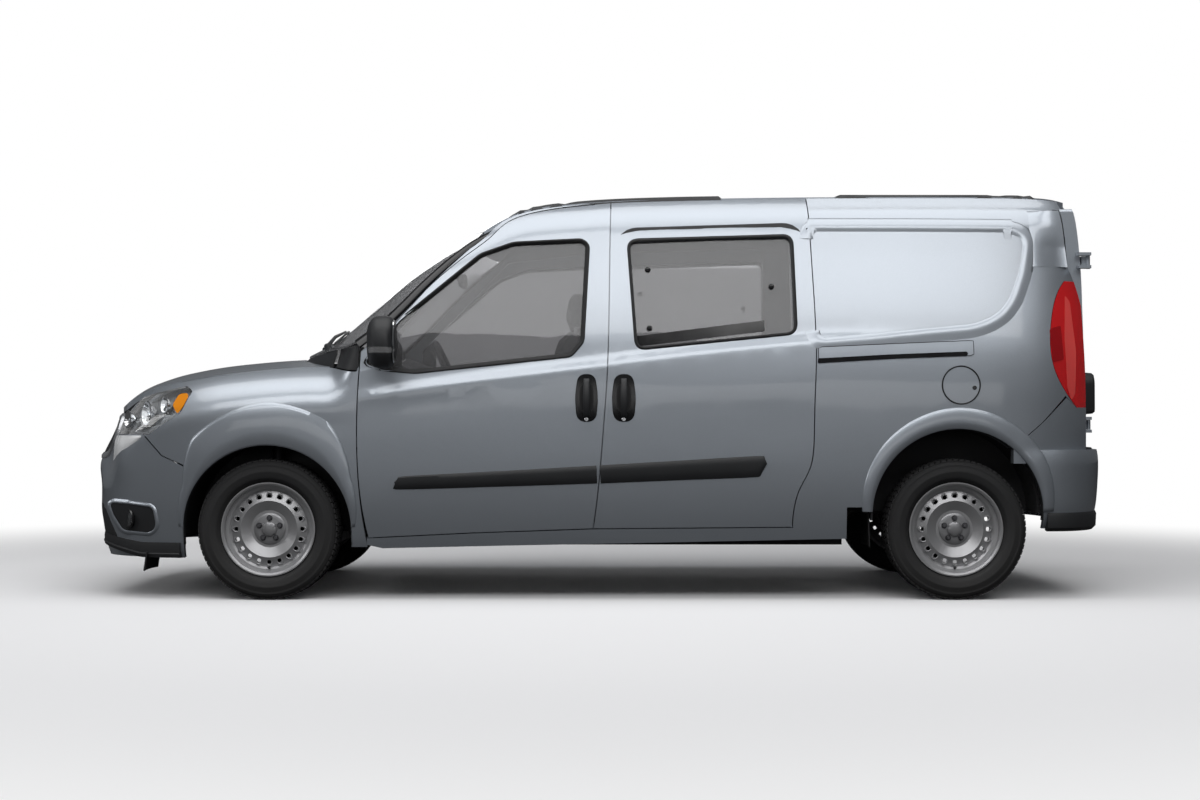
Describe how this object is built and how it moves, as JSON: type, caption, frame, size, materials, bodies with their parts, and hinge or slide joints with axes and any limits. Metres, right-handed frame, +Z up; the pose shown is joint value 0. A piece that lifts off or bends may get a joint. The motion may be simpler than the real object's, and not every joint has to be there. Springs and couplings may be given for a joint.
{
  "type": "compact cargo van",
  "caption": "Compact cargo van with hollow cab and load space, hinged front doors, split rear doors, hood, fuel flap, steering and turning wheels",
  "frame": {"origin": "on the ground under the middle of the body", "axes": "+Z up, the van faces -X, its left (driver) side is at -Y"},
  "size_m": [4.7281, 2.156, 1.8719],
  "materials": {
    "body_paint": "metallic clearcoat",
    "black_trim": "moulded, slightly textured",
    "window_glass": "lightly tinted",
    "lamp_clear": "clear lens over reflector",
    "lamp_red": "gloss lens",
    "tyre_rubber": "matte rubber",
    "wheel_steel": "silver wheel paint",
    "chassis_metal": "black chassis paint",
    "engine_metal": "rough",
    "floor_paint": "satin",
    "cabin_plastic": "grained",
    "seat_fabric": "woven cloth"
  },
  "bodies": {
    "root": {"body_side_left": "body_paint", "body_side_right": "body_paint", "cowl_panel": "black_trim", "dashboard": "cabin_plastic", "engine_block": "engine_metal", "exhaust_and_tank": "chassis_metal", "fender_left": "body_paint", "fender_right": "body_paint", "floor_pan": "floor_paint", "front_bumper": "body_paint", "front_grille": "black_trim", "front_subframe": "chassis_metal", "headlights": "lamp_clear", "rear_axle": "chassis_metal", "rear_bumper": "body_paint", "roof_panel": "body_paint", "seat_left": "seat_fabric", "seat_right": "seat_fabric", "sliding_door_glass": "window_glass", "sliding_door_left": "body_paint", "sliding_door_right": "body_paint", "steering_column": "cabin_plastic", "tail_lights": "lamp_red", "wheel_liners": "black_trim", "windshield": "window_glass"},
    "front_door_left_body": {"front_door_left": "body_paint", "front_door_glass_left": "window_glass", "mirror_left": "black_trim"},
    "front_door_right_body": {"front_door_right": "body_paint", "front_door_glass_right": "window_glass", "mirror_right": "black_trim"},
    "rear_door_left_body": {"rear_door_left": "body_paint", "rear_door_glass_left": "window_glass"},
    "rear_door_right_body": {"rear_door_right": "body_paint", "rear_door_glass_right": "window_glass"},
    "hood_body": {"hood": "body_paint"},
    "fuel_flap_body": {"fuel_flap": "body_paint"},
    "knuckle_left_body": {"knuckle_left": "chassis_metal"},
    "knuckle_right_body": {"knuckle_right": "chassis_metal"},
    "wheel_front_left": {"tyre_front_left": "tyre_rubber", "rim_front_left": "wheel_steel"},
    "wheel_front_right": {"tyre_front_right": "tyre_rubber", "rim_front_right": "wheel_steel"},
    "wheel_rear_left": {"tyre_rear_left": "tyre_rubber", "rim_rear_left": "wheel_steel"},
    "wheel_rear_right": {"tyre_rear_right": "tyre_rubber", "rim_rear_right": "wheel_steel"},
    "steering_wheel_body": {"steering_wheel": "cabin_plastic"}
  },
  "joints": [
    {"name": "spin_front_left", "type": "hinge", "parent": "knuckle_left_body", "child": "wheel_front_left", "pos_m": [-1.488, -0.762, 0.318], "axis": [0, 1, 0], "continuous": true},
    {"name": "spin_front_right", "type": "hinge", "parent": "knuckle_right_body", "child": "wheel_front_right", "pos_m": [-1.488, 0.762, 0.318], "axis": [0, 1, 0], "continuous": true},
    {"name": "spin_rear_left", "type": "hinge", "parent": "root", "child": "wheel_rear_left", "pos_m": [1.617, -0.762, 0.318], "axis": [0, 1, 0], "continuous": true},
    {"name": "spin_rear_right", "type": "hinge", "parent": "root", "child": "wheel_rear_right", "pos_m": [1.617, 0.762, 0.318], "axis": [0, 1, 0], "continuous": true},
    {"name": "steer_left", "type": "hinge", "parent": "root", "child": "knuckle_left_body", "pos_m": [-1.488, -0.7, 0.318], "axis": [0, 0, 1], "range_deg": [-36, 36]},
    {"name": "steer_right", "type": "hinge", "parent": "root", "child": "knuckle_right_body", "pos_m": [-1.488, 0.7, 0.318], "axis": [0, 0, 1], "range_deg": [-36, 36]},
    {"name": "steering_wheel_turn", "type": "hinge", "parent": "root", "child": "steering_wheel_body", "pos_m": [-0.698, -0.375, 1.01], "axis": [0.9135, 0, 0.4067], "range_deg": [-540, 540]},
    {"name": "front_door_left_hinge", "type": "hinge", "parent": "root", "child": "front_door_left_body", "pos_m": [-1.051, -0.905, 0.8], "axis": [0, 0, -1], "range_deg": [0, 68]},
    {"name": "front_door_right_hinge", "type": "hinge", "parent": "root", "child": "front_door_right_body", "pos_m": [-1.051, 0.905, 0.8], "axis": [0, 0, 1], "range_deg": [0, 68]},
    {"name": "rear_door_left_hinge", "type": "hinge", "parent": "root", "child": "rear_door_left_body", "pos_m": [2.245, -0.735, 1.2], "axis": [0, 0, -1], "range_deg": [0, 180]},
    {"name": "rear_door_right_hinge", "type": "hinge", "parent": "root", "child": "rear_door_right_body", "pos_m": [2.245, 0.735, 1.2], "axis": [0, 0, 1], "range_deg": [0, 180]},
    {"name": "hood_hinge", "type": "hinge", "parent": "root", "child": "hood_body", "pos_m": [-1.34, 0, 1.105], "axis": [0, 1, 0], "range_deg": [0, 50]},
    {"name": "fuel_flap_hinge", "type": "hinge", "parent": "root", "child": "fuel_flap_body", "pos_m": [1.5455, -0.9143, 0.968], "axis": [0, 0, -1], "range_deg": [0, 85]}
  ],
  "couplings": [
    {"joint": "steer_right", "follows": "steer_left", "ratio": 1},
    {"joint": "steering_wheel_turn", "follows": "steer_left", "ratio": 15}
  ]
}
